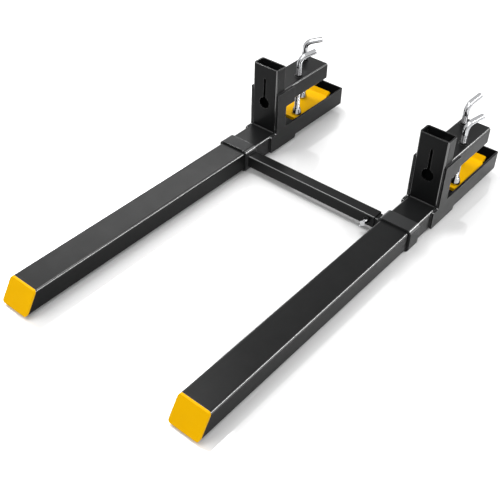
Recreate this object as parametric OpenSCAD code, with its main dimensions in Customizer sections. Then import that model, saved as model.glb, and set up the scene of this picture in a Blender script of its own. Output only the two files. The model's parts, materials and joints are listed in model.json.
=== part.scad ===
// A pair of clamp-on pallet forks joined by a telescoping stabilizer bar.
// Millimetres. +Y runs from the fork tips to the clamps, +Z is up, +X is the right fork's side.
// Inside a fork, y counts from the tip, x from the fork's middle, z from the tube's underside.

/* [Pair] */
// Overall length of a fork, tip to jaw end
overall_length = 1524; // [1100:1:2000]
// Gap between a collar and the clamp plates behind it
collar_gap = 84; // [2:1:400]

/* [Fork tube] */
// Width of the fork tube, post and arm
tube_width = 104; // [96:1:116]
// Height of the fork tube
tube_height = 69; // [60:1:75]
// Outer corner radius of the fork tube, post and arm
tube_radius = 8; // [6:1:12]
// Wall of the fork tube, post and arm
tube_wall = 5; // [3:0.5:5.5]
// How far the tip's top edge stands back from its bottom edge
tip_setback = 44; // [10:1:120]
// Thickness of the tip plate
tip_thickness = 6; // [3:0.5:12]

/* [Chain post] */
// Depth of the post, front to back
post_depth = 50; // [40:1:51]
// Height of the post's open top above the tube's underside
post_top = 312; // [285:1:400]
// Height of the chain hole's middle
chain_hole_height = 173; // [120:1:200]
// Radius of the chain hole
chain_hole_radius = 21.5; // [12:0.5:26]
// Width of the slot above the chain hole
chain_slot_width = 10; // [5:0.5:16]
// Height of the slot's top end
chain_slot_top = 268; // [235:1:275]

/* [Clamp] */
// Length from the post's front to the jaw end
clamp_length = 411; // [400:1:480]
// Length of the side plates' feet ahead of the post
plate_foot = 28; // [12:1:60]
// Length of the jaw behind the fork tube
jaw_length = 300; // [290:1:350]
// Length of the clamp arm behind the post
arm_length = 249; // [235:1:300]
// Distance from the post's back to the front screw
front_screw_setback = 107; // [98:1:112]
// Distance between the front and rear screws
screw_spacing = 107; // [90:1:112]
// Thickness of the side plates, jaw floor and jaw end
plate_thickness = 7; // [5:0.5:10]
// Height of the jaw's rim
rim_height = 78.7; // [76:0.1:88]
// Underside of the clamp arm
arm_bottom = 162; // [150:1:180]
// Height of the clamp arm
arm_height = 62; // [45:1:66]
// Outer radius of the jaw's rounded rear corners
jaw_corner = 12; // [11:1:20]

/* [Pad] */
// Thickness of the pad
pad_thickness = 12; // [6:0.5:16]
// Height of the pad's top face
pad_top = 72; // [66:1:90]
// Length of the pad from its front to its bend
pad_length = 198; // [185:1:215]
// Gap between the fork tube's end and the pad
pad_front_gap = 15; // [4:0.5:24]
// Gap on each side of the pad
pad_side_gap = 3; // [1:0.5:10]
// How far the flange is narrower than the pad on each side
flange_step = 8; // [2:0.5:20]
// Angle of the flange at the pad's rear
flange_angle = 45; // [20:1:60]

/* [Screws] */
// Diameter of the clamp screws
screw_diameter = 19; // [14:0.5:20]
// Distance of each clamp screw from its side of the fork tube
screw_inset = 24; // [20:1:30]
// Height where the clamp screw's handle begins to bend
handle_start = 270; // [255:1:300]
// Radius of the handle's bend
handle_bend_radius = 30; // [24:1:40]
// Angle of the handle's bend
handle_bend = 75; // [30:1:85]
// Length of the handle after its bend
handle_length = 38; // [20:1:60]
// Direction of the left fork's front handle, from +X towards +Y
left_front_turn = 60; // [0:1:90]
// Direction of the left fork's rear handle
left_rear_turn = 34; // [0:1:90]
// Direction of the right fork's front handle
right_front_turn = 66; // [0:1:90]
// Direction of the right fork's rear handle
right_rear_turn = 78; // [0:1:90]

/* [Stabilizer] */
// Clearance between a collar and the fork tube
collar_clearance = 0.5; // [0.4:0.1:1.5]
// Wall of the collars
collar_wall = 7; // [3:0.5:9]
// Length of the collars along the fork
collar_length = 52; // [46:1:90]
// Side of the outer bar
bar_side = 44; // [42:1:46]
// Wall of the outer bar
bar_wall = 4; // [3:0.5:5]
// Length of the outer bar
bar_length = 513.5; // [440:0.5:700]
// Length of the inner bar that shows, which sets the distance between the forks
bar_showing = 18.5; // [1:0.5:300]
// Length of the inner bar
inner_bar_length = 410; // [340:1:500]
// Angle of the lock screw's wings above level
wing_angle = 56; // [0:1:90]

/* [Hidden] */
$fn = 64;

left = -1;
right = 1;

// Stations along the fork
tail = overall_length;
post_front = tail - clamp_length;
post_back = post_front + post_depth;
upright_front = post_front + 2;
foot_front = post_front - plate_foot;
tube_end = tail - jaw_length;
arm_end = post_back + arm_length;
front_screw_y = post_back + front_screw_setback;
rear_screw_y = front_screw_y + screw_spacing;
pad_front = tube_end + pad_front_gap;
pad_bend = pad_front + pad_length;
collar_back = foot_front - collar_gap;
collar_front = collar_back - collar_length;

// Clamp plates
inside = tube_width / 2;
outside = inside + plate_thickness;
foot_z = 3;
jaw_floor_z = 16.3;
floor_top = jaw_floor_z + plate_thickness;
arm_top = arm_bottom + arm_height;

// Screws, nuts and feet
pad_half_width = inside - pad_side_gap;
screw_offset = inside - screw_inset;
screw_radius = screw_diameter / 2;
running_gap = 0.05;
nut_flats = 26;
nut_height = 6;
foot_radius = 17.5;
foot_height = 24;
foot_neck_radius = 12.5;
screw_bottom = pad_top + 4.2;

// Stabilizer
collar_inner_width = tube_width + 2 * collar_clearance;
collar_inner_height = tube_height + 2 * collar_clearance;
collar_width = collar_inner_width + 2 * collar_wall;
collar_height = collar_inner_height + 2 * collar_wall;
ground = collar_clearance + collar_wall;
bar_y = (collar_front + collar_back) / 2 + 3;
bar_z = 36;
bar_left = collar_width / 2;
bar_right = bar_left + bar_length;
inner_side = bar_side - 2 * bar_wall - 0.6;
inner_right = bar_right + bar_showing;
fork_spacing = inner_right + collar_width / 2;
lock_x = bar_right - 25;
lock_front = bar_y - bar_side / 2;
lock_radius = 6;
lock_nut_height = 8;

// The pair is centred on its own outline, where a collar or a handle may reach past the plates
function handle_reach() =
    handle_bend_radius * (1 - cos(handle_bend)) + handle_length * sin(handle_bend);
function handle_extent(turn) =
    handle_reach() * cos(turn) + screw_radius * sqrt(1 - pow(sin(handle_bend) * cos(turn), 2));
right_extent = max(
    outside,
    collar_width / 2,
    screw_offset + handle_extent(right_front_turn),
    handle_extent(right_rear_turn) - screw_offset
);
left_extent = max(outside, collar_width / 2);
left_x = -(fork_spacing + right_extent - left_extent) / 2;

// Which sub-part is drawn

// Placing

// Puts a fork's own coordinates at the left or right fork
module on_fork(side) {
    translate([side == left ? left_x : left_x + fork_spacing, -tail / 2, ground])
        children();
}

// Extrudes a section of x and z along y
module along_y(start, end) {
    translate([0, end, 0])
        rotate([90, 0, 0])
            linear_extrude(end - start)
                children();
}

// Extrudes an outline of y and z along x
module across_x(start, end) {
    translate([start, 0, 0])
        rotate([90, 0, 90])
            linear_extrude(end - start)
                children();
}

// Outlines

module rounded_box(width, height, radius) {
    square([width - 2 * radius, height], center = true);
    square([width, height - 2 * radius], center = true);
    for (x = [-1, 1], y = [-1, 1])
        translate([x * (width / 2 - radius), y * (height / 2 - radius)])
            circle(radius);
}

module tube_section(width, height, radius, wall) {
    difference() {
        rounded_box(width, height, radius);
        rounded_box(width - 2 * wall, height - 2 * wall, radius - wall);
    }
}

// The sliver between a square corner and its round, pointing away from the origin
module corner_sliver(radius, x_sign, y_sign) {
    mirror([x_sign < 0 ? 1 : 0, 0])
        mirror([0, y_sign < 0 ? 1 : 0])
            translate([-radius, -radius])
                difference() {
                    square(radius + 0.5);
                    circle(radius);
                }
}

// Fillet inside a square corner whose open side lies towards x_sign and y_sign
module inner_fillet(radius, x_sign, y_sign) {
    mirror([x_sign < 0 ? 1 : 0, 0])
        mirror([0, y_sign < 0 ? 1 : 0])
            difference() {
                translate([-0.5, -0.5])
                    square(radius + 0.5);
                translate([radius, radius])
                    circle(radius);
            }
}

// Fork

// Slanted line of the tip, moved back by the given distance
module behind_tip(back) {
    slope = tip_setback / tube_height;
    polygon([
        [back - 5 * slope, -5],
        [tail, -5],
        [tail, tube_height + 5],
        [back + (tube_height + 5) * slope, tube_height + 5]
    ]);
}

tip_depth = tip_thickness * norm([tip_setback, tube_height]) / tube_height;

module fork_tube() {
    intersection() {
        along_y(0, tube_end)
            translate([0, tube_height / 2])
                tube_section(tube_width, tube_height, tube_radius, tube_wall);
        across_x(-inside, inside)
            behind_tip(tip_depth);
    }
}

module tip_plate() {
    difference() {
        along_y(0, tip_setback + tip_depth + 5)
            translate([0, tube_height / 2])
                rounded_box(tube_width, tube_height, tube_radius);
        across_x(-inside - 1, inside + 1)
            behind_tip(tip_depth);
        difference() {
            translate([-inside - 1, -1, -1])
                cube([tube_width + 2, tip_setback + tip_depth + 10, tube_height + 2]);
            across_x(-inside - 2, inside + 2)
                behind_tip(0);
        }
    }
}

// Post with a keyhole through its front wall
module chain_post() {
    difference() {
        translate([0, post_front + post_depth / 2, tube_height])
            linear_extrude(post_top - tube_height)
                tube_section(tube_width, post_depth, tube_radius, tube_wall);
        translate([0, post_front - 1, chain_hole_height])
            rotate([-90, 0, 0])
                cylinder(r = chain_hole_radius, h = tube_wall + 2);
        translate([-chain_slot_width / 2, post_front - 1, chain_hole_height])
            cube([
                chain_slot_width,
                tube_wall + 2,
                chain_slot_top - chain_slot_width / 2 - chain_hole_height
            ]);
        translate([0, post_front - 1, chain_slot_top - chain_slot_width / 2])
            rotate([-90, 0, 0])
                cylinder(d = chain_slot_width, h = tube_wall + 2);
    }
}

module clamp_arm() {
    difference() {
        along_y(post_back, arm_end)
            translate([0, arm_bottom + arm_height / 2])
                tube_section(tube_width, arm_height, tube_radius, tube_wall);
        for (place = [[screw_offset, front_screw_y], [-screw_offset, rear_screw_y]])
            translate([place.x, place.y, arm_bottom - 1])
                cylinder(r = screw_radius + 1, h = arm_height + 2);
    }
}

// Side plate: a foot, a C-shaped throat and the side of the jaw
module side_outline() {
    difference() {
        polygon([
            [foot_front, foot_z],
            [tube_end, foot_z],
            [tube_end + 4, jaw_floor_z],
            [tail - jaw_corner, jaw_floor_z],
            [tail - jaw_corner, rim_height],
            [post_back, rim_height],
            [post_back, arm_bottom - 2],
            [post_back + 49, arm_bottom - 2],
            [post_back + 45, arm_top - 4],
            [upright_front, arm_top - 3],
            [upright_front, tube_height - 2],
            [foot_front, tube_height - 2]
        ]);
        translate([foot_front, foot_z])
            corner_sliver(4, -1, -1);
        translate([foot_front, tube_height - 2])
            corner_sliver(4, -1, 1);
    }
    translate([post_back, rim_height])
        inner_fillet(5, 1, 1);
    translate([post_back, arm_bottom - 2])
        inner_fillet(5, 1, -1);
    translate([upright_front, tube_height - 2])
        inner_fillet(5, -1, 1);
}

module side_plate(side) {
    across_x(side > 0 ? inside : -outside, side > 0 ? outside : -inside)
        side_outline();
}

module jaw_floor() {
    translate([-inside, tube_end, jaw_floor_z])
        cube([tube_width, tail - jaw_corner - tube_end, plate_thickness]);
}

// Rear end of the jaw, bent round both rear corners, with its strip of floor
module jaw_end() {
    start = tail - jaw_corner;
    difference() {
        intersection() {
            translate([0, tail - 40, jaw_floor_z])
                linear_extrude(rim_height - jaw_floor_z)
                    rounded_box(2 * outside, 80, jaw_corner);
            across_x(-outside, outside)
                difference() {
                    translate([start, jaw_floor_z])
                        square([jaw_corner, rim_height - jaw_floor_z]);
                    translate([tail, jaw_floor_z])
                        corner_sliver(plate_thickness, 1, -1);
                    translate([tail, rim_height])
                        corner_sliver(3, 1, 1);
                }
        }
        translate([0, start - 40 + jaw_corner - plate_thickness, floor_top])
            linear_extrude(rim_height)
                rounded_box(tube_width, 80, jaw_corner - plate_thickness);
    }
}

module weld_nut() {
    translate([0, 0, arm_top])
        difference() {
            intersection() {
                cylinder(r = nut_flats / 2 / cos(30), h = nut_height, $fn = 6);
                rotate_extrude()
                    polygon([
                        [0, 0],
                        [nut_flats / 2 / cos(30), 0],
                        [nut_flats / 2 / cos(30), nut_height - 1.5],
                        [nut_flats / 2 - 0.5, nut_height],
                        [0, nut_height]
                    ]);
            }
            translate([0, 0, -1])
                cylinder(r = screw_radius + running_gap, h = nut_height + 2);
        }
}

// Pad

// Side outline of the pad, a flat plate bent upwards at its rear
module pad_side() {
    inner_bend = 6;
    outer_bend = inner_bend + pad_thickness;
    flange = 18;
    steps = 9;
    turn = [for (i = [0:steps]) flange_angle * i / steps];
    centre = [pad_bend, pad_top + inner_bend];
    along = flange * [cos(flange_angle), sin(flange_angle)];
    down = [sin(flange_angle), -cos(flange_angle)];
    polygon(concat(
        [[pad_front, pad_top], [pad_front, pad_top - pad_thickness]],
        [for (a = turn) centre + outer_bend * [sin(a), -cos(a)]],
        [centre + outer_bend * down + along, centre + inner_bend * down + along],
        [for (i = [0:steps]) centre + inner_bend * [sin(turn[steps - i]), -cos(turn[steps - i])]]
    ));
}

module pad() {
    narrow = pad_half_width - flange_step;
    difference() {
        intersection() {
            across_x(-pad_half_width, pad_half_width)
                pad_side();
            linear_extrude(pad_top + 60)
                polygon([
                    [-pad_half_width, pad_front],
                    [pad_half_width, pad_front],
                    [pad_half_width, pad_bend - 10],
                    [narrow, pad_bend],
                    [narrow, tail],
                    [-narrow, tail],
                    [-narrow, pad_bend],
                    [-pad_half_width, pad_bend - 10]
                ]);
        }
        for (side = [-1, 1])
            along_y(pad_front - 1, pad_bend - 10)
                translate([side * pad_half_width, pad_top])
                    corner_sliver(3, side, 1);
    }
}

// Swivel foot with a socket for the end of its screw
module swivel_foot() {
    translate([0, 0, pad_top])
        rotate_extrude()
            polygon([
                [0, 0],
                [foot_radius, 0],
                [foot_radius, 6],
                [foot_neck_radius, foot_height - 1],
                [foot_neck_radius - 1, foot_height],
                [screw_radius + running_gap, foot_height],
                [screw_radius + running_gap, 4],
                [0, 4]
            ]);
}

// Clamp screw with a bent handle, a hair slimmer round the bend
module clamp_screw(turn) {
    lead = 3;
    bend_x = handle_bend_radius * (1 - cos(handle_bend));
    bend_z = handle_start + handle_bend_radius * sin(handle_bend);
    translate([0, 0, screw_bottom])
        cylinder(r = screw_radius, h = handle_start - screw_bottom);
    rotate(turn) {
        translate([handle_bend_radius, 0, handle_start])
            rotate([90, 0, 0])
                rotate(180 - handle_bend - lead)
                    rotate_extrude(angle = handle_bend + 2 * lead)
                        translate([handle_bend_radius, 0])
                            circle(screw_radius - 0.2);
        translate([bend_x, 0, bend_z])
            rotate([0, handle_bend, 0])
                cylinder(r = screw_radius, h = handle_length);
    }
}

module at_front_screw() {
    translate([screw_offset, front_screw_y, 0])
        children();
}

module at_rear_screw() {
    translate([-screw_offset, rear_screw_y, 0])
        children();
}

// Stabilizer

module collar() {
    along_y(collar_front, collar_back)
        translate([0, tube_height / 2])
            tube_section(
                collar_width,
                collar_height,
                tube_radius + collar_clearance + collar_wall,
                collar_wall
            );
}

// Square tube along x with its middle at the bar's height
module square_bar(start, end, side, wall, radius) {
    translate([0, bar_y, bar_z])
        across_x(start, end)
            tube_section(side, side, radius, wall);
}

// Puts a solid drawn along +Z on the lock screw's line, with +Z pointing forward
module on_lock_line(y) {
    translate([lock_x, y, bar_z])
        rotate([90, 0, 0])
            children();
}

module outer_bar() {
    difference() {
        square_bar(bar_left, bar_right, bar_side, bar_wall, bar_wall + 1);
        on_lock_line(lock_front + bar_wall + 1)
            cylinder(r = lock_radius + 0.5, h = bar_wall + 2);
    }
}

module inner_bar() {
    square_bar(inner_right - inner_bar_length, inner_right, inner_side, 3, 4);
}

module lock_nut_solid() {
    on_lock_line(lock_front)
        difference() {
            cylinder(r = 19 / 2 / cos(30), h = lock_nut_height, $fn = 6);
            translate([0, 0, -1])
                cylinder(r = lock_radius + running_gap, h = lock_nut_height + 2);
        }
}

module wing_outline() {
    for (side = [-1, 1]) {
        translate([side * 18, 9])
            circle(6.5);
        polygon([
            [0, 1],
            [side * 9, 1],
            [side * 20, 2.8],
            [side * 14, 14],
            [side * 7, 11.5],
            [0, 11.5]
        ]);
    }
}

// Wing screw that bears on the inner bar
module wing_screw() {
    shank = bar_y - inner_side / 2 - 0.3 - (lock_front - lock_nut_height - 4);
    on_lock_line(bar_y - inner_side / 2 - 0.3)
        cylinder(r = lock_radius, h = shank + 2);
    on_lock_line(lock_front - lock_nut_height - 4) {
        cylinder(r = 9, h = 12);
        rotate(wing_angle)
            translate([0, 2, 0])
                rotate([90, 0, 0])
                    linear_extrude(4)
                        wing_outline();
    }
}

// Sub-parts

module left_fork_tube() {
    color([0.10, 0.10, 0.10])
        on_fork(left)
            fork_tube();
}

module left_tip_plate() {
    color([0.95, 0.72, 0.05])
        on_fork(left)
            tip_plate();
}

module left_chain_post() {
    color([0.12, 0.12, 0.12])
        on_fork(left)
            chain_post();
}

module left_clamp_arm() {
    color([0.14, 0.14, 0.14])
        on_fork(left)
            clamp_arm();
}

module left_inner_plate() {
    color([0.16, 0.16, 0.16])
        on_fork(left)
            side_plate(1);
}

module left_outer_plate() {
    color([0.16, 0.16, 0.16])
        on_fork(left)
            side_plate(-1);
}

module left_jaw_floor() {
    color([0.10, 0.10, 0.10])
        on_fork(left)
            jaw_floor();
}

module left_jaw_end() {
    color([0.16, 0.16, 0.16])
        on_fork(left)
            jaw_end();
}

module left_front_nut() {
    color([0.08, 0.08, 0.08])
        on_fork(left)
            at_front_screw()
                weld_nut();
}

module left_rear_nut() {
    color([0.08, 0.08, 0.08])
        on_fork(left)
            at_rear_screw()
                weld_nut();
}

module left_pad() {
    color([0.95, 0.72, 0.05])
        on_fork(left)
            pad();
}

module left_front_foot() {
    color([0.75, 0.76, 0.78])
        on_fork(left)
            at_front_screw()
                swivel_foot();
}

module left_rear_foot() {
    color([0.75, 0.76, 0.78])
        on_fork(left)
            at_rear_screw()
                swivel_foot();
}

module left_front_screw() {
    color([0.82, 0.83, 0.85])
        on_fork(left)
            at_front_screw()
                clamp_screw(left_front_turn);
}

module left_rear_screw() {
    color([0.82, 0.83, 0.85])
        on_fork(left)
            at_rear_screw()
                clamp_screw(left_rear_turn);
}

module right_fork_tube() {
    color([0.10, 0.10, 0.10])
        on_fork(right)
            fork_tube();
}

module right_tip_plate() {
    color([0.95, 0.72, 0.05])
        on_fork(right)
            tip_plate();
}

module right_chain_post() {
    color([0.12, 0.12, 0.12])
        on_fork(right)
            chain_post();
}

module right_clamp_arm() {
    color([0.14, 0.14, 0.14])
        on_fork(right)
            clamp_arm();
}

module right_inner_plate() {
    color([0.16, 0.16, 0.16])
        on_fork(right)
            side_plate(-1);
}

module right_outer_plate() {
    color([0.16, 0.16, 0.16])
        on_fork(right)
            side_plate(1);
}

module right_jaw_floor() {
    color([0.10, 0.10, 0.10])
        on_fork(right)
            jaw_floor();
}

module right_jaw_end() {
    color([0.16, 0.16, 0.16])
        on_fork(right)
            jaw_end();
}

module right_front_nut() {
    color([0.08, 0.08, 0.08])
        on_fork(right)
            at_front_screw()
                weld_nut();
}

module right_rear_nut() {
    color([0.08, 0.08, 0.08])
        on_fork(right)
            at_rear_screw()
                weld_nut();
}

module right_pad() {
    color([0.95, 0.72, 0.05])
        on_fork(right)
            pad();
}

module right_front_foot() {
    color([0.75, 0.76, 0.78])
        on_fork(right)
            at_front_screw()
                swivel_foot();
}

module right_rear_foot() {
    color([0.75, 0.76, 0.78])
        on_fork(right)
            at_rear_screw()
                swivel_foot();
}

module right_front_screw() {
    color([0.82, 0.83, 0.85])
        on_fork(right)
            at_front_screw()
                clamp_screw(right_front_turn);
}

module right_rear_screw() {
    color([0.82, 0.83, 0.85])
        on_fork(right)
            at_rear_screw()
                clamp_screw(right_rear_turn);
}

module left_collar() {
    color([0.13, 0.13, 0.13])
        on_fork(left)
            collar();
}

module bar_outer() {
    color([0.13, 0.13, 0.13])
        on_fork(left)
            outer_bar();
}

module lock_nut() {
    color([0.08, 0.08, 0.08])
        on_fork(left)
            lock_nut_solid();
}

module lock_screw() {
    color([0.80, 0.81, 0.83])
        on_fork(left)
            wing_screw();
}

module bar_inner() {
    color([0.11, 0.11, 0.11])
        on_fork(left)
            inner_bar();
}

module right_collar() {
    color([0.13, 0.13, 0.13])
        on_fork(right)
            collar();
}

left_fork_tube();
left_tip_plate();
left_chain_post();
left_clamp_arm();
left_inner_plate();
left_outer_plate();
left_jaw_floor();
left_jaw_end();
left_front_nut();
left_rear_nut();
left_pad();
left_front_foot();
left_rear_foot();
left_front_screw();
left_rear_screw();
right_fork_tube();
right_tip_plate();
right_chain_post();
right_clamp_arm();
right_inner_plate();
right_outer_plate();
right_jaw_floor();
right_jaw_end();
right_front_nut();
right_rear_nut();
right_pad();
right_front_foot();
right_rear_foot();
right_front_screw();
right_rear_screw();
left_collar();
bar_outer();
lock_nut();
lock_screw();
bar_inner();
right_collar();
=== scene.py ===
"""Looks of a pair of clamp-on pallet forks: coats, plating, weld beads and screw threads.

Places and sizes are in metres in the row frame, where +Y runs from the fork tips to the clamps and
+Z is up. Inside a fork they are in the fork's own millimetres: x from its middle, y from its tip,
and z from the underside of its tube.
"""

import json
import logging
import math
from dataclasses import dataclass, replace
from enum import Enum
from typing import Sequence

import bpy
import numpy as np
from mathutils import Euler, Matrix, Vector

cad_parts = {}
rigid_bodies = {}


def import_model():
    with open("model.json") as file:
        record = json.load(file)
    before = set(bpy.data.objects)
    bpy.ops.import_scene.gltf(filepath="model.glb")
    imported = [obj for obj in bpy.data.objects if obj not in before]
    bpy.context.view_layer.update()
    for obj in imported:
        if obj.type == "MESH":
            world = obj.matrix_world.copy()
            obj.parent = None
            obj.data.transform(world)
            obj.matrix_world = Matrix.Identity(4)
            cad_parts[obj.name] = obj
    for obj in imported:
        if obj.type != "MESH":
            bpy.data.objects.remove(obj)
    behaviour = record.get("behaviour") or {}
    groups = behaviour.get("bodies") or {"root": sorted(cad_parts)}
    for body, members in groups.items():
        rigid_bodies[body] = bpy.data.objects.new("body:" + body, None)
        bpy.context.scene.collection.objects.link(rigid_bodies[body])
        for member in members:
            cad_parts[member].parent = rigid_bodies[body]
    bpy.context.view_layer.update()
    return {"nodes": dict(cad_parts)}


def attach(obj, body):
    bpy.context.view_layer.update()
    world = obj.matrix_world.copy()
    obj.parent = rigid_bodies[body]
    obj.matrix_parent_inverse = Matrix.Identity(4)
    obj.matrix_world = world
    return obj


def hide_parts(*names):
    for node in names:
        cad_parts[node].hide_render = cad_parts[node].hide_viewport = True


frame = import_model()

logging.basicConfig(level=logging.INFO, format="%(name)s: %(message)s")
log = logging.getLogger("pallet_forks")

Triple = tuple[float, float, float]
Socket = bpy.types.NodeSocket

MM = 0.001

# In mm: the forks' length, their height over the floor, and where they stand across the row.
FORK_LENGTH = 1524.0
GROUND_GAP = 7.5
LEFT_MIDDLE = -326.105
FORK_SPACING = 651.0


class Side(Enum):
    """The two forks."""

    LEFT = "left"
    RIGHT = "right"


class Slot(Enum):
    """The record's material slots."""

    BLACK = "black_powder_coat"
    YELLOW = "yellow_paint"
    ZINC = "zinc_plate"
    NUT = "black_nut"


# Meshes


def mesh_from_grid(name: str, points: np.ndarray) -> bpy.types.Object:
    """Makes an object of a grid of points whose columns close into a ring.

    The faces join point (i, j) to (i + 1, j), (i + 1, j + 1) and (i, j + 1), with j counted round
    the ring. Each end ring gets one flat face.

    Args:
        name: the object's name.
        points: array of shape (rings, points in a ring, 3), in metres.

    Returns:
        The object, with smooth faces along the rings.
    """
    rings, around, _ = points.shape
    index = np.arange(rings * around).reshape(rings, around)
    turned = np.roll(index, -1, axis=1)
    quads = np.stack([index[:-1], turned[:-1], turned[1:], index[1:]], axis=-1).reshape(-1, 4)
    corners = np.concatenate([quads.reshape(-1), index[0][::-1], index[-1]])
    end_faces = len(quads) * 4 + np.array([0, around])
    starts = np.concatenate([np.arange(len(quads)) * 4, end_faces])
    mesh = bpy.data.meshes.new(name)
    mesh.vertices.add(rings * around)
    mesh.vertices.foreach_set("co", points.reshape(-1).astype(np.float32))
    mesh.loops.add(len(corners))
    mesh.loops.foreach_set("vertex_index", corners.astype(np.int32))
    mesh.polygons.add(len(starts))
    mesh.polygons.foreach_set("loop_start", starts.astype(np.int32))
    mesh.polygons.foreach_set("use_smooth", np.arange(len(starts)) < len(quads))
    mesh.update(calc_edges=True)
    mesh.validate()
    made = bpy.data.objects.new(name, mesh)
    bpy.context.scene.collection.objects.link(made)
    return made


def unit(vectors: np.ndarray) -> np.ndarray:
    """Each vector divided by its length."""
    return vectors / np.linalg.norm(vectors, axis=-1, keepdims=True)


def distances(path: np.ndarray) -> np.ndarray:
    """How far along a path each of its points lies: the running sum of the steps' lengths."""
    return np.concatenate([[0.0], np.cumsum(np.linalg.norm(np.diff(path, axis=0), axis=1))])


def sweep(path: np.ndarray, side: Sequence[float], radius: np.ndarray) -> np.ndarray:
    """Carries a ring along a path.

    A point of the surface is path + radius * (cos(a) * side + sin(a) * up), where a runs round the
    ring and up is the path's direction crossed with side.

    Args:
        path: centre line, shape (rings, 3).
        side: a vector roughly square to the path.
        radius: shape (rings, points in a ring).

    Returns:
        The points, shape (rings, points in a ring, 3).
    """
    along = unit(np.gradient(path, axis=0))
    up = unit(np.cross(along, unit(np.broadcast_to(np.array(side, dtype=float), path.shape))))
    side = np.cross(up, along)
    angle = np.linspace(0, 2 * np.pi, radius.shape[1], endpoint=False)[None, :, None]
    ring = np.cos(angle) * side[:, None, :] + np.sin(angle) * up[:, None, :]
    return path[:, None, :] + radius[:, :, None] * ring


def resample(corners: Sequence[Sequence[float]], step: float, closed: bool) -> np.ndarray:
    """Points at even distances along a line through the corners.

    Args:
        corners: corner points in mm.
        step: distance between points in mm.
        closed: whether the line returns to its first corner.

    Returns:
        Points in mm, shape (count, 3).
    """
    line = np.array(list(corners) + ([corners[0]] if closed else []), dtype=float)
    reach = distances(line)
    at = np.linspace(0, reach[-1], max(4, int(reach[-1] / step) + 1))
    return np.stack([np.interp(at, reach, line[:, k]) for k in range(3)], axis=1)


def circle(middle: Triple, radius: float, across: Triple, along: Triple, step: int) -> np.ndarray:
    """Points round a circle: middle + radius * (cos(a) * across + sin(a) * along).

    Args:
        middle: the circle's middle.
        radius: its radius.
        across: one unit vector of its plane.
        along: the other one.
        step: degrees between points.

    Returns:
        The points, shape (360 / step, 3).
    """
    angle = np.radians(np.arange(0, 360, step))[:, None]
    ring = np.cos(angle) * np.array(across) + np.sin(angle) * np.array(along)
    return np.array(middle) + radius * ring


def to_row(points: np.ndarray, middle: float) -> np.ndarray:
    """A fork's own mm as row-frame metres; middle is the fork's place across the row, in mm."""
    return (points + np.array([middle, -FORK_LENGTH / 2, GROUND_GAP])) * MM


# Shader pieces


class Nodes:
    """A short way to add and link shader nodes in one tree."""

    def __init__(self, tree: bpy.types.NodeTree) -> None:
        """Keeps the tree that the nodes go into."""
        self.tree = tree

    def add(self, kind: str, **values: object) -> bpy.types.Node:
        """Adds a node and sets its properties.

        Args:
            kind: the node's type name after ShaderNode.
            **values: properties of the node.

        Returns:
            The node.
        """
        made = self.tree.nodes.new("ShaderNode" + kind)
        for key, value in values.items():
            setattr(made, key, value)
        return made

    def plug(self, socket: Socket, value: object) -> None:
        """Links a socket to an input, or sets the input to a value.

        Args:
            socket: the input.
            value: a socket to link, or a value to set.
        """
        if isinstance(value, Socket):
            self.tree.links.new(value, socket)
        else:
            socket.default_value = value

    def feed(self, node: bpy.types.Node, **inputs: object) -> None:
        """Plugs a node's inputs by name, with spaces written as underscores.

        Args:
            node: the node.
            **inputs: a socket to link, or a value to set.
        """
        for key, value in inputs.items():
            self.plug(node.inputs[key.replace("_", " ")], value)

    def group(self, tree: bpy.types.NodeTree, **inputs: object) -> Socket:
        """Places a node group and feeds its inputs.

        Args:
            tree: the node group.
            **inputs: sockets to link or values to set.

        Returns:
            The group's output.
        """
        placed = self.add("Group", node_tree=tree)
        self.feed(placed, **inputs)
        return placed.outputs[0]

    def math(self, operation: str, first: Socket, second: Socket | float) -> Socket:
        """Works out a sum, a product or the like of two values.

        Args:
            operation: the Math node's operation.
            first: one value.
            second: the other.

        Returns:
            The result.
        """
        made = self.add("Math", operation=operation)
        self.plug(made.inputs[0], first)
        self.plug(made.inputs[1], second)
        return made.outputs[0]

    def noise(self, place: Socket, scale: Socket | float, detail: float, rough: float) -> Socket:
        """Noise from 0 to 1.

        Args:
            place: where it is read.
            scale: repeats to the metre.
            detail: how many finer layers it has.
            rough: how strong the finer layers are.

        Returns:
            The noise.
        """
        made = self.add("TexNoise")
        self.feed(made, Vector=place, Scale=scale, Detail=detail, Roughness=rough)
        return made.outputs["Fac"]

    def spread(self, value: Socket, start: float, end: float, **more: object) -> Socket:
        """Spreads the part of a value's range from start to end over 0 to 1, and holds the rest.

        Args:
            value: the value.
            start: where the result is 0.
            end: where the result is 1.
            **more: other inputs, such as what stands in for 0 and 1.

        Returns:
            The result.
        """
        made = self.add("MapRange")
        self.feed(made, Value=value, From_Min=start, From_Max=end, **more)
        return made.outputs["Result"]

    def mix(self, factor: Socket, first: Socket | Triple, second: Socket | Triple) -> Socket:
        """Mixes two colours.

        Args:
            factor: 0 for the first and 1 for the second.
            first: a linear colour.
            second: another.

        Returns:
            The mixed colour.
        """
        made = self.add("Mix", data_type="RGBA")
        self.feed(made, Factor=factor)
        for socket, colour in ((made.inputs[6], first), (made.inputs[7], second)):
            self.plug(socket, colour if isinstance(colour, Socket) else (*colour, 1.0))
        return made.outputs[2]

    def parts(self, vector: Socket) -> bpy.types.NodeOutputs:
        """Takes a vector apart.

        Args:
            vector: the vector.

        Returns:
            The outputs named X, Y and Z.
        """
        made = self.add("SeparateXYZ")
        self.plug(made.inputs[0], vector)
        return made.outputs


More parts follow.
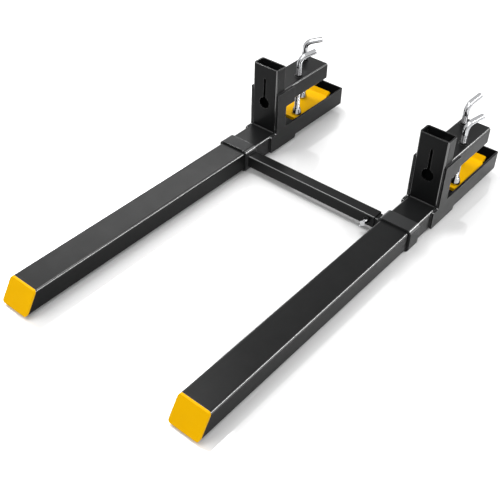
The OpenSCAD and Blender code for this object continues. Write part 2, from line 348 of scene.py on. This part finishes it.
def new_group(
    name: str, output: str, inputs: dict[str, float | None]
) -> tuple[Nodes, bpy.types.NodeOutputs, Socket]:
    """Starts a shader node group with one value as its output.

    Args:
        name: the group's name.
        output: the output's name.
        inputs: socket names with their defaults; None makes a vector socket.

    Returns:
        The group's nodes helper, what its inputs give, and the socket to plug the result into.
    """
    tree = bpy.data.node_groups.new(name, "ShaderNodeTree")
    for key, default in inputs.items():
        kind = "NodeSocketVector" if default is None else "NodeSocketFloat"
        socket = tree.interface.new_socket(name=key, in_out="INPUT", socket_type=kind)
        if default is not None:
            socket.default_value = default
    tree.interface.new_socket(name=output, in_out="OUTPUT", socket_type="NodeSocketFloat")
    given = tree.nodes.new("NodeGroupInput")
    result = tree.nodes.new("NodeGroupOutput")
    return Nodes(tree), given.outputs, result.inputs[0]


class Effects:
    """The shader node groups that the finishes share."""

    FINE_SHARE = 0.45

    def __init__(self) -> None:
        """Builds the groups once."""
        self.grain = self._grain()
        self.patches = self._patches()
        self.dust = self._dust()
        self.edge_polish = self._edge_polish()

    @staticmethod
    def _grain() -> bpy.types.NodeTree:
        """Fine orange peel: two sizes of noise added up as a height from 0 to 1.

        Returns:
            The group.
        """
        sizes = {"Vector": None, "Grain": 900.0, "Ripple": 220.0}
        nodes, given, result = new_group("coat_grain", "Height", sizes)
        fine = nodes.noise(given["Vector"], given["Grain"], detail=2.0, rough=0.5)
        broad = nodes.noise(given["Vector"], given["Ripple"], detail=1.0, rough=0.4)
        fine_part = nodes.math("MULTIPLY", fine, Effects.FINE_SHARE)
        broad_part = nodes.math("MULTIPLY", broad, 1 - Effects.FINE_SHARE)
        nodes.plug(result, nodes.math("ADD", fine_part, broad_part))
        return nodes.tree

    @staticmethod
    def _patches() -> bpy.types.NodeTree:
        """Broad soft patches of noise, spread between a low and a high value.

        Returns:
            The group.
        """
        sizes = {"Vector": None, "Scale": 9.0, "Low": 0.0, "High": 1.0}
        nodes, given, result = new_group("patches", "Value", sizes)
        noise = nodes.noise(given["Vector"], given["Scale"], detail=4.0, rough=0.55)
        ends = {"To_Min": given["Low"], "To_Max": given["High"]}
        nodes.plug(result, nodes.spread(noise, start=0.32, end=0.68, **ends))
        return nodes.tree

    @staticmethod
    def _dust() -> bpy.types.NodeTree:
        """Thin dust on faces that look up: the normal's height times broken-up noise.

        Returns:
            The group.
        """
        nodes, given, result = new_group("dust", "Mask", {"Vector": None, "Amount": 0.1})
        normal = nodes.add("NewGeometry").outputs["Normal"]
        facing = nodes.spread(nodes.parts(normal)["Z"], start=0.3, end=1.0)
        noise = nodes.noise(given["Vector"], scale=26.0, detail=6.0, rough=0.65)
        broken = nodes.spread(noise, start=0.35, end=0.75)
        mask = nodes.math("MULTIPLY", facing, broken)
        nodes.plug(result, nodes.math("MULTIPLY", mask, given["Amount"]))
        return nodes.tree

    @staticmethod
    def _edge_polish() -> bpy.types.NodeTree:
        """Gloss on rounded edges: how far the normal leans away from the nearest of the axes.

        Returns:
            The group.
        """
        nodes, given, result = new_group("edge_polish", "Mask", {"Normal": None, "Amount": 1.0})
        absolute = nodes.add("VectorMath", operation="ABSOLUTE")
        nodes.plug(absolute.inputs[0], given["Normal"])
        parts = nodes.parts(absolute.outputs[0])
        level = nodes.math("MAXIMUM", parts["X"], parts["Y"])
        nearest = nodes.math("MAXIMUM", level, parts["Z"])
        lean = nodes.add("MapRange", interpolation_type="SMOOTHSTEP")
        nodes.feed(lean, Value=nearest, From_Min=0.99, From_Max=0.88)
        nodes.plug(result, nodes.math("MULTIPLY", lean.outputs["Result"], given["Amount"]))
        return nodes.tree


# Finishes


@dataclass(frozen=True)
class Texture:
    """Sizes of a finish's noises, in repeats to the metre, and its bumps' height in metres."""

    tone: float
    gloss: float
    grain: float
    ripple: float
    height: float


COAT_TEXTURE = Texture(tone=7.0, gloss=23.0, grain=900.0, ripple=220.0, height=0.00025)
PLATE_TEXTURE = Texture(tone=60.0, gloss=140.0, grain=1600.0, ripple=500.0, height=0.0002)


@dataclass
class Draft:
    """A material in the making, with the sockets that a finish builds on."""

    material: bpy.types.Material
    nodes: Nodes
    shader: bpy.types.Node
    place: Socket
    tone: Socket
    rounded: Socket


@dataclass(frozen=True)
class Finish:
    """What every finish has: a tone and a gloss in soft patches, fine grain and soft edges.

    Fields: colour and patch are linear colours; roughness runs between two values; grain is the
    strength of the bumps; edge is the radius in metres over which sharp edges catch light.
    """

    name: str
    colour: Triple
    patch: Triple
    roughness: tuple[float, float]
    grain: float
    edge: float

    def draft(self, effects: Effects, texture: Texture) -> Draft:
        """Starts the material, with all but its base colour.

        Args:
            effects: the shared node groups.
            texture: the sizes of the noises.

        Returns:
            The material in the making.
        """
        made = bpy.data.materials.new(self.name)
        made.use_nodes = True
        nodes = Nodes(made.node_tree)
        shader = made.node_tree.nodes["Principled BSDF"]
        place = nodes.add("TexCoord").outputs["Object"]
        patches = nodes.group(effects.patches, Vector=place, Scale=texture.tone)
        tone = nodes.mix(patches, self.colour, self.patch)
        low, high = self.roughness
        rough = nodes.group(effects.patches, Vector=place, Scale=texture.gloss, Low=low, High=high)
        grain = nodes.group(
            effects.grain, Vector=place, Grain=texture.grain, Ripple=texture.ripple
        )
        bevel = nodes.add("Bevel", samples=4)
        nodes.feed(bevel, Radius=self.edge)
        rounded = bevel.outputs["Normal"]
        bump = nodes.add("Bump")
        nodes.feed(bump, Strength=self.grain, Distance=texture.height, Height=grain, Normal=rounded)
        nodes.feed(shader, Roughness=rough, Normal=bump.outputs["Normal"])
        return Draft(made, nodes, shader, place, tone, rounded)


@dataclass(frozen=True)
class Coat(Finish):
    """A painted or powder-coated finish.

    Fields: dust is the share of pale dust on faces that look up; polish is the share of clear
    gloss on the edges.
    """

    specular: float
    dust: float = 0.0
    polish: float = 0.0

    DUST_COLOUR = (0.32, 0.31, 0.29)
    POLISH_ROUGHNESS = 0.16
    POLISH_IOR = 2.1

    def build(self, effects: Effects) -> bpy.types.Material:
        """Makes the material.

        Args:
            effects: the shared node groups.

        Returns:
            The material.
        """
        draft = self.draft(effects, COAT_TEXTURE)
        nodes = draft.nodes
        dust = nodes.group(effects.dust, Vector=draft.place, Amount=self.dust)
        nodes.feed(
            draft.shader,
            Base_Color=nodes.mix(dust, draft.tone, self.DUST_COLOUR),
            Specular_IOR_Level=self.specular,
            Coat_Roughness=self.POLISH_ROUGHNESS,
            Coat_IOR=self.POLISH_IOR,
        )
        if self.polish:
            worn = nodes.group(effects.edge_polish, Normal=draft.rounded, Amount=self.polish)
            nodes.feed(draft.shader, Coat_Weight=worn)
        return draft.material


@dataclass(frozen=True)
class Plate(Finish):
    """A bright plated metal, darker between two heights where it has a thread: oil on the thread,
    and painted shade of the thread's grooves.

    Fields: thread_oil_and_shade is the colour there, oil with painted shade, and thread the two
    heights in metres. A tint darkens what the metal mirrors at a grazing angle.
    """

    thread_oil_and_shade: Triple | None = None
    thread: tuple[float, float] = (0.0, 0.0)

    TINT = (0.3, 0.3, 0.32, 1.0)
    FADE = 0.003

    def build(self, effects: Effects) -> bpy.types.Material:
        """Makes the material.

        Args:
            effects: the shared node groups.

        Returns:
            The material.
        """
        draft = self.draft(effects, PLATE_TEXTURE)
        tone = self.oil_and_shade_thread(draft) if self.thread_oil_and_shade else draft.tone
        draft.nodes.feed(draft.shader, Base_Color=tone, Metallic=1.0, Specular_Tint=self.TINT)
        return draft.material

    def oil_and_shade_thread(self, draft: Draft) -> Socket:
        """Darkens the metal between the two heights of the thread, fading over 3 mm: oil on the
        thread, and painted shade of its grooves.

        Args:
            draft: the material in the making.

        Returns:
            The colour with the thread darkened by oil and painted shade.
        """
        nodes = draft.nodes
        height = nodes.parts(draft.place)["Z"]
        bottom, top = self.thread
        rise = nodes.spread(height, bottom, bottom + self.FADE)
        fall = nodes.spread(height, top, top - self.FADE)
        return nodes.mix(nodes.math("MULTIPLY", rise, fall), draft.tone, self.thread_oil_and_shade)


POWDER_COAT = Coat(
    name="satin_black_powder_coat",
    colour=(0.0060, 0.0062, 0.0064),
    patch=(0.0075, 0.0077, 0.0079),
    roughness=(0.28, 0.335),
    grain=0.15,
    edge=0.0014,
    specular=0.082,
    dust=0.004,
    polish=1.0,
)
COLLAR_COAT = replace(
    POWDER_COAT,
    name="matt_black_collar_coat",
    colour=(0.023, 0.0235, 0.024),
    patch=(0.026, 0.0265, 0.027),
    roughness=(0.36, 0.44),
    specular=0.08,
)
BAR_COAT = replace(POWDER_COAT, name="satin_black_bar_coat", polish=0.45)
WELD_COAT = Coat(
    name="powder_coat_over_welds",
    colour=(0.0065, 0.0067, 0.0069),
    patch=(0.0085, 0.0087, 0.0089),
    roughness=(0.28, 0.36),
    grain=0.3,
    edge=0.0003,
    specular=0.25,
)
NUT_COAT = Coat(
    name="satin_black_nut",
    colour=(0.005, 0.005, 0.0052),
    patch=(0.007, 0.007, 0.0072),
    roughness=(0.30, 0.38),
    grain=0.2,
    edge=0.0008,
    specular=0.1,
)
YELLOW_PAINT = Coat(
    name="gloss_yellow_paint",
    colour=(0.83, 0.445, 0.0004),
    patch=(0.79, 0.415, 0.0004),
    roughness=(0.32, 0.40),
    grain=0.15,
    edge=0.0006,
    specular=0.03,
)
ZINC_PLATE = Plate(
    name="bright_zinc_plate",
    colour=(0.50, 0.505, 0.515),
    patch=(0.44, 0.445, 0.455),
    roughness=(0.09, 0.15),
    grain=0.15,
    edge=0.0006,
)
SCREW_PLATE = replace(
    ZINC_PLATE,
    name="bright_zinc_with_oiled_thread",
    # Darker colour on the thread above the arm: oil, and painted shade of the thread's grooves.
    thread_oil_and_shade=(0.2, 0.2, 0.205),
    thread=(0.23, 0.2655),
)


class Wardrobe:
    """The finished materials: one for each slot, and those of the welds, screws and some nodes."""

    def __init__(self) -> None:
        """Builds every finish once."""
        effects = Effects()
        self.by_slot = {
            Slot.BLACK: POWDER_COAT.build(effects),
            Slot.YELLOW: YELLOW_PAINT.build(effects),
            Slot.ZINC: ZINC_PLATE.build(effects),
            Slot.NUT: NUT_COAT.build(effects),
        }
        self.weld = WELD_COAT.build(effects)
        self.screw = SCREW_PLATE.build(effects)
        collar, bar = COLLAR_COAT.build(effects), BAR_COAT.build(effects)
        self.own = {
            "left_collar": collar,
            "right_collar": collar,
            "bar_outer": bar,
            "bar_inner": bar,
        }

    def dress_node(self, name: str, slot: Slot) -> None:
        """Gives a CAD node its material.

        Args:
            name: the CAD node.
            slot: the record's material slot.
        """
        node = frame["nodes"][name]
        node.data.materials.clear()
        node.data.materials.append(self.own.get(name, self.by_slot[slot]))
        log.info("%s dressed in %s", name, slot.value)

    def add_piece(
        self, name: str, points: np.ndarray, body: str, finish: bpy.types.Material
    ) -> bpy.types.Object:
        """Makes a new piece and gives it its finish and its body.

        Args:
            name: the piece's name.
            points: its grid of points, in metres.
            body: the CAD body it rides on.
            finish: its material.

        Returns:
            The piece.
        """
        piece = mesh_from_grid(name, points)
        piece.data.materials.append(finish)
        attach(piece, body)
        log.info("%s made, %d faces, on %s", name, len(piece.data.polygons), body)
        return piece


# Welds and threads


@dataclass(frozen=True)
class Weld:
    """A weld bead along a line of corners, in a fork's own mm.

    Fields: side is a vector roughly square to the line; closed tells whether the line returns to
    its first corner. The waves' lengths and depths, the step and the end ring are in mm or shares
    of the radius.
    """

    corners: Sequence[Sequence[float]]
    radius: float
    side: Triple
    closed: bool = False

    STEP = 0.55
    AROUND = 12
    SCALLOP = 2.6
    SCALLOP_DEPTH = 0.10
    WANDER = 0.06
    WANDER_WAVES = (7.3, 11.9)
    END_RING = 0.02

    def surface(self) -> np.ndarray:
        """Points of the bead.

        The ring's radius is the bead's own, times 1 - depth * |sin| of the distance along the
        line, which repeats every scallop, times a slow wander of 6 percent, which is the product
        of two longer waves. It closes in a quarter circle over the last radius at both ends.

        Returns:
            Points in mm, shape (rings, 12, 3).
        """
        path = resample(self.corners, self.STEP, self.closed)
        reach = distances(path)
        scallop = 1.0 - self.SCALLOP_DEPTH * np.abs(np.sin(np.pi * reach / self.SCALLOP))
        shorter, longer = self.WANDER_WAVES
        waves = np.sin(reach / shorter + self.radius) * np.sin(reach / longer)
        wander = 1.0 + self.WANDER * waves
        near_end = np.minimum(reach, reach[-1] - reach) / self.radius
        closing = np.sqrt(np.clip(1 - (1 - np.clip(near_end, self.END_RING, 1)) ** 2, 0, 1))
        radius = self.radius * scallop * wander * closing
        return sweep(path, self.side, np.repeat(radius[:, None], self.AROUND, axis=1))


@dataclass(frozen=True)
class BentScrew:
    """A clamp screw with a bent handle, in mm, upright on its own axis.

    The screw runs up the z axis from bottom to bend_start, turns towards +x round an arc, and ends
    in a straight handle. It is threaded from thread_start to thread_end.
    """

    bottom: float = 76.2
    bend_start: float = 270.0
    bend_radius: float = 30.0
    bend_angle: float = 75.0
    handle: float = 38.0
    radius: float = 9.5
    thread_start: float = 97.5
    thread_end: float = 258.0
    pitch: float = 2.5
    depth: float = 0.9
    end_rounding: float = 1.2

    AROUND = 36
    RINGS_IN_A_PITCH = 7
    SMOOTH_STEP = 1.1
    SMOOTH_STOP = 0.2
    LAST_RINGS = (0.0, 0.25, 0.6)
    WAVE_GAIN = 1.25
    WAVE_CUT = 0.12

    def centre_line(self) -> tuple[np.ndarray, np.ndarray]:
        """Points along the screw's middle, in the xz plane.

        Up to the bend z is the distance and x is 0. Round the bend the point is
        (R - R cos a, bend_start + R sin a). After it the point goes on along (sin A, cos A).

        Returns:
            The points, shape (rings, 3), and each one's distance from the bottom.
        """
        turn = math.radians(self.bend_angle)
        upright = self.bend_start - self.bottom
        arc = self.bend_radius * turn
        length = upright + arc + self.handle
        threaded = np.arange(0.0, upright, self.pitch / self.RINGS_IN_A_PITCH)
        smooth = np.arange(upright, length - self.SMOOTH_STOP, self.SMOOTH_STEP)
        reach = np.unique(np.concatenate([threaded, smooth, length - np.array(self.LAST_RINGS)]))
        a = np.clip(reach - upright, 0, arc) / self.bend_radius
        after = np.clip(reach - upright - arc, 0, None)
        x = self.bend_radius * (1 - np.cos(a)) + after * math.sin(turn)
        z = self.bottom + np.minimum(reach, upright)
        z = z + self.bend_radius * np.sin(a) + after * math.cos(turn)
        return np.stack([x, np.zeros_like(x), z], axis=1), reach

    def surface(self) -> np.ndarray:
        """Points of the screw.

        The radius is the screw's own less the thread's depth times a wave of
        z / pitch - angle / turn, a triangle with its tip and root flattened, faded in and out over
        one pitch at the thread's ends. The two ends of the screw are rounded in a quarter circle.

        Returns:
            Points in mm, shape (rings, 36, 3).
        """
        path, reach = self.centre_line()
        angle = np.linspace(0, 2 * np.pi, self.AROUND, endpoint=False)[None, :]
        height = (self.bottom + reach)[:, None]
        phase = np.mod(height / self.pitch - angle / (2 * np.pi), 1.0)
        wave = self.WAVE_GAIN * (1 - np.abs(2 * phase - 1)) - self.WAVE_CUT
        rise = np.clip((height - self.thread_start) / self.pitch, 0, 1)
        fall = np.clip((self.thread_end - height) / self.pitch, 0, 1)
        threaded = self.radius - self.depth * np.clip(wave, 0, 1) * np.minimum(rise, fall)
        near_end = np.minimum(reach, reach[-1] - reach)[:, None] / self.end_rounding
        closing = 1 - np.sqrt(np.clip(1 - (1 - np.clip(near_end, 0, 1)) ** 2, 0, 1))
        return sweep(path, (0.0, -1.0, 0.0), threaded - self.end_rounding * closing)


# Sub-assemblies


@dataclass
class Fork:
    """One fork with its clamp. Sizes are in mm, in the fork's own coordinates.

    Fields: middle is the fork's place across the row; front_turn and rear_turn are the degrees
    that the handles are turned by.
    """

    side: Side
    middle: float
    front_turn: float
    rear_turn: float
    half_width: float = 52.0
    tube_height: float = 69.0
    corner: float = 6.0
    plate_front: float = 1085.0
    plate_top: float = 220.0
    plate_end: float = 1208.6
    post_front: float = 1113.0
    post_back: float = 1163.0
    arm_bottom: float = 162.0
    arm_top: float = 224.0
    bead_inset: float = 0.4
    nut_bead: float = 14.2
    screws: tuple[tuple[str, float, float], ...] = (
        ("front", 28.0, 1270.0),
        ("rear", -28.0, 1377.0),
    )

    PARTS = {
        "fork_tube": Slot.BLACK,
        "tip_plate": Slot.YELLOW,
        "chain_post": Slot.BLACK,
        "clamp_arm": Slot.BLACK,
        "inner_plate": Slot.BLACK,
        "outer_plate": Slot.BLACK,
        "jaw_floor": Slot.BLACK,
        "jaw_end": Slot.BLACK,
        "front_nut": Slot.NUT,
        "rear_nut": Slot.NUT,
        "pad": Slot.YELLOW,
        "front_foot": Slot.ZINC,
        "rear_foot": Slot.ZINC,
    }

    @property
    def name(self) -> str:
        """The fork's prefix in node names."""
        return self.side.value

    def cross_welds(self) -> dict[str, Weld]:
        """The beads across the fork: at the post's foot and where the arm leaves the post.

        Returns:
            The beads by name.
        """
        reach, upward = self.half_width - self.corner, (0, 0, 1)
        foot, back = (self.post_front, self.tube_height), (self.post_back, self.arm_top)
        return {
            "post_base": Weld(((-reach, *foot), (reach, *foot)), radius=3.6, side=upward),
            "arm_back": Weld(((-reach, *back), (reach, *back)), radius=3.4, side=upward),
        }

    def side_welds(self, tag: str, sign: float) -> dict[str, Weld]:
        """The beads along one side plate, each from one (y, z) to another near its corners.

        Args:
            tag: the side's name.
            sign: -1 for the left side and 1 for the right.

        Returns:
            The beads by name.
        """
        top, crest = self.tube_height, self.plate_top
        front, post, end = self.plate_front, self.post_front, self.plate_end
        on_face, sunk = sign * self.half_width, sign * (self.half_width - self.bead_inset)
        seams = (
            ("foot_top", sunk, (front + 3, top - 3.5), (post + 1, top - 3.5), 3.4),
            ("foot_front", on_face, (front, 8), (front, top - 6), 3.0),
            ("plate_top", sunk, (post + 4, crest + 0.2), (end - 2.6, crest - 0.4), 3.6),
            ("plate_end", on_face, (end, crest - 3), (end + 3.4, self.arm_bottom + 2), 3.0),
            ("post_edge", sunk, (post + 2.6, top + 5), (post + 2.6, crest - 5), 2.8),
        )
        return {
            f"{tag}_{name}": Weld(((x, *start), (x, *stop)), radius, side=(1, 0, 0))
            for name, x, start, stop, radius in seams
        }

    def nut_welds(self) -> dict[str, Weld]:
        """The beads round the weld nuts, on top of the arm.

        Returns:
            The beads by name.
        """
        return {
            f"{tag}_nut": Weld(
                circle((x, y, self.arm_top), self.nut_bead, (1, 0, 0), (0, 1, 0), step=10),
                radius=1.8,
                side=(0, 0, 1),
                closed=True,
            )
            for tag, x, y in self.screws
        }

    def build_welds(self, wardrobe: Wardrobe) -> None:
        """Makes every bead and dresses it.

        Args:
            wardrobe: the materials.
        """
        beads = self.cross_welds() | self.side_welds("left", -1.0) | self.side_welds("right", 1.0)
        for tag, weld in (beads | self.nut_welds()).items():
            points = to_row(weld.surface(), self.middle)
            name, body = f"{self.name}_weld_{tag}", f"{self.name}_fork"
            wardrobe.add_piece(name, points, body, wardrobe.weld)

    def build_screws(self, wardrobe: Wardrobe) -> None:
        """Makes the threaded screws in place of the plain ones.

        Args:
            wardrobe: the materials.
        """
        surface = BentScrew().surface()
        for (tag, x, y), turn in zip(self.screws, (self.front_turn, self.rear_turn)):
            c, s = math.cos(math.radians(turn)), math.sin(math.radians(turn))
            spin = np.array([[c, s, 0.0], [-s, c, 0.0], [0.0, 0.0, 1.0]])
            points = to_row(surface @ spin + np.array([x, y, 0.0]), self.middle)
            name, body = f"{self.name}_{tag}_threaded_screw", f"{self.name}_{tag}_clamp_screw"
            piece = wardrobe.add_piece(name, points, body, wardrobe.screw)
            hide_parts(f"{self.name}_{tag}_screw")

    def build(self, wardrobe: Wardrobe) -> None:
        """Dresses the fork's nodes and adds its welds and screws.

        Args:
            wardrobe: the materials.
        """
        for part, slot in self.PARTS.items():
            wardrobe.dress_node(f"{self.name}_{part}", slot)
        self.build_welds(wardrobe)
        self.build_screws(wardrobe)


@dataclass
class Stabilizer:
    """The two collars, the telescoping bar and its lock screw.

    Sizes are in mm, in the left fork's own coordinates.
    """

    middle: float
    collar_side: float = 59.5
    bar_y: float = 978.0
    bar_z: float = 36.0
    bar_half: float = 22.0
    bar_corner: float = 4.0
    lock_x: float = 548.0
    lock_bead: float = 10.6

    PARTS = {
        "left_collar": Slot.BLACK,
        "right_collar": Slot.BLACK,
        "bar_outer": Slot.BLACK,
        "bar_inner": Slot.BLACK,
        "lock_nut": Slot.NUT,
        "lock_screw": Slot.ZINC,
    }

    def bar_weld(self) -> Weld:
        """The bead round the outer bar where it meets the left collar.

        Returns:
            The bead.
        """
        half, cut = self.bar_half, self.bar_half - self.bar_corner
        outline = (
            (-cut, -half), (cut, -half), (half, -cut), (half, cut),
            (cut, half), (-cut, half), (-half, cut), (-half, -cut),
        )
        corners = tuple((self.collar_side, self.bar_y + y, self.bar_z + z) for y, z in outline)
        return Weld(corners, radius=2.6, side=(1, 0, 0), closed=True)

    def lock_weld(self) -> Weld:
        """The bead round the lock nut, on the bar's front.

        Returns:
            The bead.
        """
        middle = (self.lock_x, self.bar_y - self.bar_half, self.bar_z)
        ring = circle(middle, self.lock_bead, (1, 0, 0), (0, 0, 1), step=12)
        return Weld(ring, radius=1.7, side=(0, 1, 0), closed=True)

    def build(self, wardrobe: Wardrobe) -> None:
        """Dresses the nodes and adds the welds.

        Args:
            wardrobe: the materials.
        """
        for part, slot in self.PARTS.items():
            wardrobe.dress_node(part, slot)
        welds = {"weld_outer_bar": self.bar_weld(), "weld_lock_nut": self.lock_weld()}
        for name, weld in welds.items():
            points = to_row(weld.surface(), self.middle)
            wardrobe.add_piece(name, points, "stabilizer_outer", wardrobe.weld)


# Studio


@dataclass(frozen=True)
class Lamp:
    """A lamp's name, and how the names of the pieces end that its light is kept off."""

    name: str
    kept_off: str

    def hang(self, light: bpy.types.Light, place: Triple, away: Vector) -> None:
        """Puts the lamp into the scene.

        Args:
            light: the light.
            place: where it hangs.
            away: the direction that it shines in.
        """
        made = bpy.data.objects.new(self.name, light)
        made.location = place
        made.rotation_euler = away.to_track_quat("-Z", "Y").to_euler()
        bpy.context.scene.collection.objects.link(made)
        if self.kept_off:
            self.keep_off(made)

    def keep_off(self, made: bpy.types.Object) -> None:
        """Keeps the light off some pieces, as a studio's flag does.

        Args:
            made: the lamp in the scene.
        """
        flagged = bpy.data.collections.new(f"{self.name}_kept_off")
        made.light_linking.receiver_collection = flagged
        for piece in bpy.data.objects:
            if piece.name.endswith(self.kept_off):
                flagged.objects.link(piece)
        for entry in flagged.collection_objects:
            entry.light_linking.link_state = "EXCLUDE"


@dataclass(frozen=True)
class SoftBox(Lamp):
    """A rectangular lamp that looks at a point; its first side lies level."""

    place: Triple
    aim: Triple
    size: tuple[float, float]
    radiance: float

    def build(self) -> None:
        """Adds the lamp, with the power that gives its face the wanted radiance."""
        light = bpy.data.lights.new(self.name, "AREA")
        light.shape = "RECTANGLE"
        light.size, light.size_y = self.size
        light.energy = self.radiance * math.pi * self.size[0] * self.size[1]
        self.hang(light, self.place, Vector(self.aim) - Vector(self.place))


@dataclass(frozen=True)
class SoftSun(Lamp):
    """Even light from one side; level is what it adds to a white floor, angle is in degrees."""

    towards: Triple
    level: float
    angle: float

    def build(self) -> None:
        """Adds the lamp."""
        light = bpy.data.lights.new(self.name, "SUN")
        direction = Vector(self.towards).normalized()
        light.energy = self.level * math.pi / direction.z
        light.angle = math.radians(self.angle)
        self.hang(light, (0.0, 0.0, 0.0), -direction)


LAMPS = (
    SoftSun("left_sun", "_screw", towards=(-0.42, -0.06, 0.9), level=0.46, angle=40.0),
    SoftSun("front_sun", "", towards=(0.25, -0.72, 0.64), level=0.2, angle=40.0),
    SoftBox(
        "rear_left_box",
        "_screw",
        place=(-1.75, 0.86, 1.5),
        aim=(-0.33, -0.1, 0.05),
        size=(1.9, 0.7),
        radiance=7.0,
    ),
    SoftBox(
        "rear_small_box",
        "",
        place=(-0.55, 0.05, 1.5),
        aim=(0.33, -0.6, 0.05),
        size=(0.5, 0.5),
        radiance=7.0,
    ),
    SoftBox(
        "right_strip",
        "",
        place=(1.55, 1.2, 1.2),
        aim=(0.2, 0.9, 0.0),
        size=(2.4, 0.25),
        radiance=14.0,
    ),
)


@dataclass
class Studio:
    """Floor, world, lamps and camera. The camera's turn is in degrees."""

    floor_size: float = 30.0
    world_light: float = 0.32
    camera_place: Triple = (1.23035, -1.64044, 1.67617)
    camera_turn: Triple = (49.3335, -1.0557, 39.7567)
    lens: float = 59.94
    sensor: float = 36.0

    def build_floor(self) -> None:
        """A pale floor that stays white to the camera except where the forks shade it."""
        half = self.floor_size / 2
        corners = [(-half, -half, 0.0), (half, -half, 0.0), (half, half, 0.0), (-half, half, 0.0)]
        mesh = bpy.data.meshes.new("floor")
        mesh.from_pydata(corners, [], [(0, 1, 2, 3)])
        floor = bpy.data.objects.new("floor", mesh)
        bpy.context.scene.collection.objects.link(floor)
        floor.data.materials.append(self.floor_material())

    @staticmethod
    def floor_material() -> bpy.types.Material:
        """White board with a clear gloss, which mirrors the forks faintly.

        Returns:
            The material.
        """
        made = bpy.data.materials.new("pale_floor")
        made.use_nodes = True
        Nodes(made.node_tree).feed(
            made.node_tree.nodes["Principled BSDF"],
            Base_Color=(0.91, 0.91, 0.91, 1.0),
            Roughness=0.9,
            Specular_IOR_Level=0.1,
            Coat_Weight=1.0,
            Coat_Roughness=0.05,
            Coat_IOR=2.2,
        )
        return made

    def build_world(self) -> None:
        """A world that is white to camera, reflection and transmission rays, and lights softly."""
        world = bpy.data.worlds.new("studio")
        world.use_nodes = True
        bpy.context.scene.world = world
        nodes = Nodes(world.node_tree)
        rays = nodes.add("LightPath").outputs
        seen = nodes.math("MAXIMUM", rays["Is Camera Ray"], rays["Is Glossy Ray"])
        seen = nodes.math("MAXIMUM", seen, rays["Is Transmission Ray"])
        strength = nodes.spread(seen, 0.0, 1.0, To_Min=self.world_light, To_Max=1.0)
        back = world.node_tree.nodes["Background"]
        nodes.feed(back, Color=(1.0, 1.0, 1.0, 1.0), Strength=strength)

    def build_camera(self) -> None:
        """Stands the camera where the photograph was taken from."""
        data = bpy.data.cameras.new("camera")
        data.sensor_width = self.sensor
        data.lens = self.lens
        camera = bpy.data.objects.new("camera", data)
        camera.location = self.camera_place
        camera.rotation_euler = Euler([math.radians(a) for a in self.camera_turn], "XYZ")
        bpy.context.scene.collection.objects.link(camera)
        bpy.context.scene.camera = camera

    def build(self) -> None:
        """Builds the whole studio."""
        self.build_floor()
        self.build_world()
        for lamp in LAMPS:
            lamp.build()
        self.build_camera()
        bpy.context.scene.view_settings.view_transform = "Standard"


def main() -> None:
    """Builds the forks, the stabilizer and the studio."""
    wardrobe = Wardrobe()
    Fork(Side.LEFT, LEFT_MIDDLE, front_turn=60.0, rear_turn=34.0).build(wardrobe)
    Fork(Side.RIGHT, LEFT_MIDDLE + FORK_SPACING, front_turn=66.0, rear_turn=78.0).build(wardrobe)
    Stabilizer(LEFT_MIDDLE).build(wardrobe)
    Studio().build()


if __name__ == "__main__":
    main()
